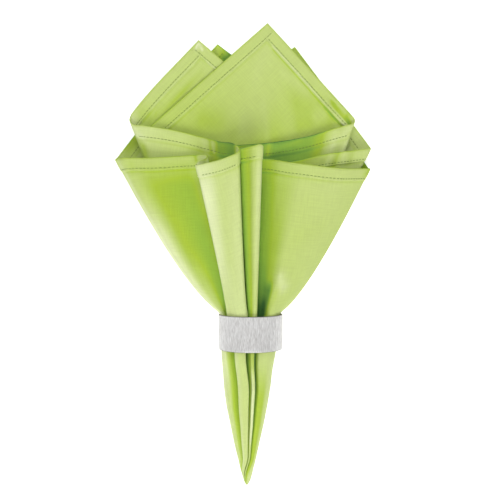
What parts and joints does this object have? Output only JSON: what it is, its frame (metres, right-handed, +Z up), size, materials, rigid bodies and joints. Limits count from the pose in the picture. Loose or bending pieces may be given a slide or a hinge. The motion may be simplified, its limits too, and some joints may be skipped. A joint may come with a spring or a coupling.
{
  "type": "cloth napkin in a ring",
  "caption": "Square hemmed cotton napkin drawn by its middle through a plain brushed metal ring, its corners fanned out at one end and a wrung tail at the other.",
  "frame": {"origin": "a point on the flat back of the napkin where it lies on the table, 48 mm from the ring's upper rim towards the fan", "axes": "+Y from the tip of the tail to the top of the fan, +Z up from the table, +X to the right of the fan seen from above"},
  "size_m": [0.1976, 0.3582, 0.048],
  "materials": {
    "napkin_cotton": "plain-woven lime green cotton with a sewn double hem",
    "ring_steel": "fine brushed along the ring's axis, edges softly rounded"
  },
  "bodies": {
    "root": {"napkin": "napkin_cotton", "ring": "ring_steel"}
  },
  "joints": []
}
